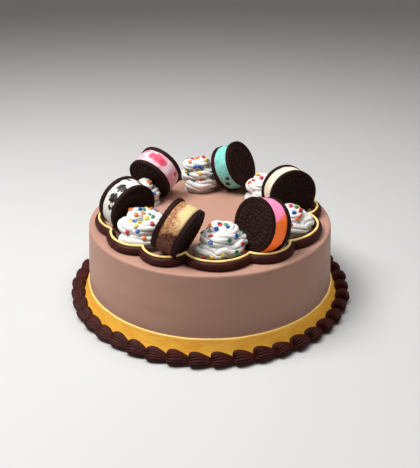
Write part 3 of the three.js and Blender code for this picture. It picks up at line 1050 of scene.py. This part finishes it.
def filling(sizes, thick, seed):
    """A disc of ice cream, drawn up step by step from a circle, fuller at its middle."""
    rows = 10
    edge = sizes.filling_radius
    obj = primitive(bpy.ops.mesh.primitive_circle_add, vertices=120, radius=edge, fill_type="NGON")
    radii = [edge + sizes.bulge * math.sin(math.pi * i / rows) ** 0.6 for i in range(rows + 1)]
    with editing(obj):
        bpy.ops.transform.translate(value=(0, 0, -thick / 2))
        for before, after in zip(radii, radii[1:]):
            bpy.ops.mesh.extrude_region_move(TRANSFORM_OT_translate={"value": (0, 0, thick / rows)})
            grow = after / before
            bpy.ops.transform.resize(value=(grow, grow, 1), center_override=(0, 0, 0))

    def melted(point):
        if point.xy.length < 0.9 * edge:
            return point
        amount = 0.45 * wander(point, 7 * MM, seed) + 0.2 * wander(point, 2.5 * MM, seed)
        return point + outwards(point) * (amount * MM)

    return moved(outward(obj), melted)


def coil_middle(rosettes, rosette, part, seed):
    """The middle of the rope of cream at a part of its length, and its radius there."""
    thick = rosettes.rope * (1 - rosettes.thin * part)
    out = (rosette.radius * MM - rosettes.rope) * (1 - part) ** rosette.blunt
    top = rosette.height * MM - 0.8 * rosettes.squash * rosettes.rope
    azimuth = math.radians(rosette.start) + TURN * rosette.turns * part
    place = polar(out, azimuth, mix(rosette.foot * MM, top, part**0.9))
    return place + pushed(place, 9 * MM, seed) * rosettes.ruffle, thick


def cream_rope(rosettes, rosette, seed):
    """A rope of cream from a star nozzle, wound up from the foot to the tip."""
    stations = round(120 * rosette.turns)
    points = 96
    step = 0.002  # how far ahead and behind its direction is taken
    first_turns, last_turns = 0.12, 0.16  # turns over which its ends are rounded off
    rings = []

    def pinch(waves, turned):
        return (1 - abs(math.sin(waves * turned / 2))) ** 2

    for station in range(1, stations):
        part = station / stations
        middle, thick = coil_middle(rosettes, rosette, part, seed)
        ahead = coil_middle(rosettes, rosette, part + step, seed)[0] if part < 0.995 else middle
        along = (ahead - coil_middle(rosettes, rosette, part - step, seed)[0]).normalized()
        side = along.cross(UP).normalized()
        up = side.cross(along) * rosettes.squash
        gone, left = part * rosette.turns, (1 - part) * rosette.turns
        ends = min(1.0, gone / first_turns, left / last_turns)
        thick *= (1 + 0.12 * wander(middle, 7 * MM, seed + 5)) * (ends * (2 - ends)) ** 0.5
        patchy = max(0.0, 0.35 + 1.5 * wander(middle, 12 * MM, seed + 6))
        ring = []
        for i in range(points):
            around = TURN * i / points
            turned = around + TURN * rosettes.twist * rosette.turns * part
            lobe = rosettes.lobe * pinch(rosettes.lobes, turned)
            size = thick * (1 - lobe - rosettes.pleat * patchy * pinch(rosettes.pleats, turned))
            ring.append(middle + side * (size * math.cos(around)) + up * (size * math.sin(around)))
        rings.append(ring)
    first, last = (coil_middle(rosettes, rosette, part, seed)[0] for part in (0, 1))
    return outward(skinned("cream", rings, first, last))


def cream_core(rosettes, rosette):
    """What fills the middle of the coil, and what it stands on."""
    core = primitive(bpy.ops.mesh.primitive_uv_sphere_add, segments=48, ring_count=24, radius=1)
    wide = rosette.radius * MM - 0.6 * rosettes.rope
    foot = copied(core, "foot", Matrix.Diagonal((wide, wide, rosette.foot * MM, 1)))
    slim = 0.85 * (rosette.radius * MM - rosettes.rope)
    core.data.transform(Matrix.Diagonal((slim, slim, rosette.height * MM - 0.4 * rosettes.rope, 1)))
    return [core, foot]


def coil(rosettes, rosette, seed):
    """A rosette of cream, standing in the origin."""
    cream = joined([cream_rope(rosettes, rosette, seed), *cream_core(rosettes, rosette)], "coil")
    modified(cream, "REMESH", mode="VOXEL", voxel_size=rosettes.voxel)
    with editing(cream):
        bpy.ops.mesh.bisect(plane_co=(0, 0, -0.3 * MM), plane_no=UP, use_fill=True, clear_inner=True)
    return outward(cream)


def largest_part(obj):
    """Drops all but the largest loose part of a mesh."""
    only(obj)
    bpy.ops.mesh.separate(type="LOOSE")
    parts = sorted(bpy.context.selected_objects, key=lambda part: len(part.data.vertices))
    for part in parts[:-1]:
        removed(part)
    return only(parts[-1])


def sandwich_rooms(sizes):
    """Plain discs, a little smaller than the sandwiches, that the cream makes room for."""
    less = 0.4 * MM
    rooms = []
    for flavour in ICE_CREAMS:
        place, apart = sandwich_place(flavour)
        size = {"radius": sizes.radius - less, "depth": apart + sizes.wafer - 4 * less}
        room = primitive(bpy.ops.mesh.primitive_cylinder_add, vertices=64, **size)
        room.data.transform(place)
        rooms.append((room, place.translation))
    return rooms


def rosette_foot(rosette):
    return polar(rosette.away * MM, math.radians(rosette.azimuth), CAKE_TOP)


def rosette_cream(rosettes, number, rooms):
    """The cream of a rosette in its place, with room for the sandwiches beside it."""
    rosette = ROSETTES[number]
    foot = rosette_foot(rosette)
    beside = rosette.radius * MM + 26 * MM  # how far off the middle of a sandwich beside it may be
    obj = coil(rosettes, rosette, 10 * number + 1)
    obj.data.transform(Matrix.Translation(foot))
    for room, middle in rooms:
        if (middle - foot).xy.length < beside:
            modified(obj, "BOOLEAN", operation="DIFFERENCE", solver="EXACT", object=room)
    return largest_part(obj)


def sprinkle_rays(sizes, number, draw):
    """Where the sprinkles of a rosette fly in from: colour, start and direction."""
    rosette = ROSETTES[number]
    foot = rosette_foot(rosette)
    high = Vector((0, math.sin(CAMERA_PITCH), math.cos(CAMERA_PITCH)))
    for tint, places in SPRINKLED[number].items():
        for right, up in places:
            aim = foot + Vector((right * MM, 0, 0)) + high * (up * MM)
            yield tint, CAMERA, (aim - CAMERA).normalized()
    for i in range(sizes.at_back):
        out = 0.9 * rosette.radius * MM * math.sqrt((i + 0.5) / sizes.at_back)
        aside = polar(out, GOLDEN * (i + 1) + math.radians(60 * number) + draw.uniform(-0.2, 0.2))
        tint = SPRINKLE_DRAW[draw.randrange(len(SPRINKLE_DRAW))]
        if aside.y > 0.25 * rosette.radius * MM:
            yield tint, foot + aside + UP * CAKE_TOP, -UP


def scattered(sizes, creams):
    """Sprinkles thrown on the creams, as one joined piece for each colour."""
    draw = random.Random(5)
    size = {"radius": sizes.radius, "depth": sizes.thickness}
    master = primitive(bpy.ops.mesh.primitive_cylinder_add, vertices=10, **size)
    modified(master, "BEVEL", width=0.3 * MM, segments=1, limit_method="ANGLE")
    placed = {}
    for number, cream in enumerate(creams):
        corners = [vertex.co for vertex in cream.data.vertices]
        tree = BVHTree.FromPolygons(corners, [face.vertices for face in cream.data.polygons])
        for tint, start, heading in sprinkle_rays(sizes, number, draw):
            hit, normal, _, _ = tree.ray_cast(start, heading)
            lean = Vector((draw.uniform(-0.3, 0.3), draw.uniform(-0.3, 0.3), 0))
            if hit is None or hit.z < CAKE_TOP + 1.5 * MM:
                continue
            up = (normal + lean).normalized()
            place = up.to_track_quat("Z", "Y").to_matrix().to_4x4()
            place.translation = hit + up * (0.25 * MM)
            placed.setdefault(tint, []).append(copied(master, f"{tint}_{number}", place))
    removed(master)
    return {tint: joined(copies, f"sprinkles_{tint}") for tint, copies in placed.items()}


def area_light(name, place, aim, size, watts):
    light = bpy.data.lights.new(name, "AREA")
    light.shape = "DISK"
    light.size = size
    light.energy = watts
    lamp = bpy.data.objects.new(name, light)
    lamp.location = place
    lamp.rotation_euler = (Vector(aim) - Vector(place)).to_track_quat("-Z", "Y").to_euler()
    bpy.context.collection.objects.link(lamp)


# Operators


class ICECAKE_OT_iced_cake(bpy.types.Operator):
    """Spread the mocha icing over the cake"""

    bl_idname = "icecake.iced_cake"
    bl_label = "Iced Cake"

    def execute(self, context):
        cake = context.scene.ice_cream_cake.cake
        finished(iced_cake(cake), "cake_icing", mocha_icing(cake.tint), "mocha_icing", "cake")
        return {"FINISHED"}


class ICECAKE_OT_yellow_band(bpy.types.Operator):
    """Pipe the yellow band round the foot"""

    bl_idname = "icecake.yellow_band"
    bl_label = "Yellow Band"

    def execute(self, context):
        settings = context.scene.ice_cream_cake
        material = yellow_icing(settings.band.tint, settings.band.height)
        band = yellow_band(settings.band, settings.cake)
        finished(band, "band_icing", material, "yellow_icing", "yellow_band")
        return {"FINISHED"}


class ICECAKE_OT_fudge(bpy.types.Operator):
    """Pipe the fudge: the shell border round the foot and the scalloped rope on top"""

    bl_idname = "icecake.fudge"
    bl_label = "Fudge Shells and Rope"

    def execute(self, context):
        settings = context.scene.ice_cream_cake
        material = fudge(settings.rope.tint)
        shells = shell_border(settings.shells, settings.band, settings.cake)
        finished(shells, "shell_piping", material, "fudge", "shell_border")
        finished(fudge_rope(settings.rope), "rope_piping", material, "fudge", "fudge_rope")
        return {"FINISHED"}


class ICECAKE_OT_yellow_line(bpy.types.Operator):
    """Pipe the yellow line on the rope"""

    bl_idname = "icecake.yellow_line"
    bl_label = "Yellow Line"

    def execute(self, context):
        settings = context.scene.ice_cream_cake
        line = yellow_line(settings.rope, settings.line)
        finished(line, "line_piping", lemon_icing(settings.line.tint), "lemon_icing", "yellow_line")
        return {"FINISHED"}


class ICECAKE_OT_sandwiches(bpy.types.Operator):
    """Stand the six ice cream sandwiches on the cake"""

    bl_idname = "icecake.sandwiches"
    bl_label = "Ice Cream Sandwiches"

    def execute(self, context):
        sizes = context.scene.ice_cream_cake.sandwiches
        cocoa = wafer_finish(sizes.cocoa)
        master = wafer(sizes)
        over = Matrix.Rotation(math.pi, 4, "X")
        for number, (flavour, ice_cream) in enumerate(ICE_CREAMS.items()):
            place, apart = sandwich_place(flavour)
            for side, turn, away in (("near", Matrix(), 0.5), ("far", over, -0.5)):
                spin = Matrix.Rotation(0.7 * number + away, 4, "Z")
                where = place @ Matrix.Translation((0, 0, away * apart)) @ turn @ spin
                name = f"{flavour}_wafer_{side}"
                baked = crumbly(copied(master, name, where), number)
                finished(baked, f"{name}_baked", cocoa, "wafer", name)
            ice = filling(sizes, apart - sizes.wafer, number + 1)
            ice.data.transform(place)
            material = ice_cream(place, sizes)
            finished(ice, f"{flavour}_filling", material, f"ice_{flavour}", f"{flavour}_ice_cream")
        removed(master)
        return {"FINISHED"}


class ICECAKE_OT_rosettes(bpy.types.Operator):
    """Pipe the six cream rosettes and drop the sprinkles on them"""

    bl_idname = "icecake.rosettes"
    bl_label = "Rosettes and Sprinkles"

    def execute(self, context):
        settings = context.scene.ice_cream_cake
        material = whipped_cream(settings.rosettes.tint)
        rooms = sandwich_rooms(settings.sandwiches)
        creams = []
        for number in range(len(ROSETTES)):
            cream = rosette_cream(settings.rosettes, number, rooms)
            name = f"rosette_{number + 1}"
            creams.append(finished(cream, f"{name}_cream", material, "whipped_cream", name))
        for room, _ in rooms:
            removed(room)
        for tint, piece in scattered(settings.sprinkles, creams).items():
            look = sprinkle_finish(tint, getattr(settings.sprinkles, tint))
            finished(piece, f"sprinkles_{tint}", look, f"sprinkle_{tint}")
        return {"FINISHED"}


class ICECAKE_OT_studio(bpy.types.Operator):
    """Set the floor, the lights and the camera"""

    bl_idname = "icecake.studio"
    bl_label = "Studio"

    def execute(self, context):
        studio = context.scene.ice_cream_cake.studio
        bend = arc((FLOOR, FLOOR_BEND), FLOOR_BEND, -90, 0, 12)
        profile = [(0, 0), *straight((0.5, 0), (FLOOR, 0), 3), *bend, (FLOOR + FLOOR_BEND, WALL)]
        floor = outward(spun("floor", profile, 64), inside=True)
        only(floor)
        bpy.ops.object.shade_smooth()
        floor.data.materials.append(floor_finish(studio.floor))
        floor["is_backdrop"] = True

        for name, place, size in LIGHTS:
            area_light(name, place, (0, 0, CAKE_TOP / 2), size, getattr(studio, name))

        world = bpy.data.worlds.new("studio")
        world.use_nodes = True
        background = world.node_tree.nodes["Background"]
        background.inputs["Color"].default_value = (1, 1, 1, 1)
        background.inputs["Strength"].default_value = studio.sky
        context.scene.world = world

        camera = bpy.data.cameras.new("camera")
        camera.lens = CAMERA_LENS
        camera.sensor_width = SENSOR_WIDTH
        camera.clip_start = 10 * MM
        seen = bpy.data.objects.new("camera", camera)
        seen.location = CAMERA
        seen.rotation_euler = (math.pi / 2 - CAMERA_PITCH, 0, 0)
        context.collection.objects.link(seen)
        context.scene.camera = seen
        context.scene.view_settings.view_transform = "Standard"
        return {"FINISHED"}


# Each operator with the settings that the panel shows under it.
STEPS = (
    (ICECAKE_OT_iced_cake, "cake"),
    (ICECAKE_OT_yellow_band, "band"),
    (ICECAKE_OT_fudge, "shells", "rope"),
    (ICECAKE_OT_yellow_line, "line"),
    (ICECAKE_OT_sandwiches, "sandwiches"),
    (ICECAKE_OT_rosettes, "rosettes", "sprinkles"),
    (ICECAKE_OT_studio, "studio"),
)


class ICECAKE_PT_panel(bpy.types.Panel):
    bl_label = "Ice Cream Cake"
    bl_idname = "ICECAKE_PT_panel"
    bl_space_type = "VIEW_3D"
    bl_region_type = "UI"
    bl_category = "Cake"

    def draw(self, context):
        for operator, *groups in STEPS:
            box = self.layout.box()
            box.operator(operator.bl_idname)
            for group in groups:
                settings = getattr(context.scene.ice_cream_cake, group)
                for key in settings.__annotations__:
                    box.prop(settings, key)


CLASSES = (
    CakeIcing, BandIcing, ShellPiping, RopePiping, LinePiping, Sandwiches, Rosettes, Sprinkles, Studio,
    CakeSettings, *(step[0] for step in STEPS), ICECAKE_PT_panel,
)


def register():
    for cls in CLASSES:
        bpy.utils.register_class(cls)
    bpy.types.Scene.ice_cream_cake = PointerProperty(type=CakeSettings)


def unregister():
    del bpy.types.Scene.ice_cream_cake
    for cls in reversed(CLASSES):
        bpy.utils.unregister_class(cls)


def main():
    register()
    bpy.ops.icecake.iced_cake()
    bpy.ops.icecake.yellow_band()
    bpy.ops.icecake.fudge()
    bpy.ops.icecake.yellow_line()
    bpy.ops.icecake.sandwiches()
    bpy.ops.icecake.rosettes()
    bpy.ops.icecake.studio()
    boxes = {"cad": CAD_BOX, "visual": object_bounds()}
    {key: [list(corner) for corner in box] for key, box in boxes.items()}


if __name__ == "__main__":
    main()
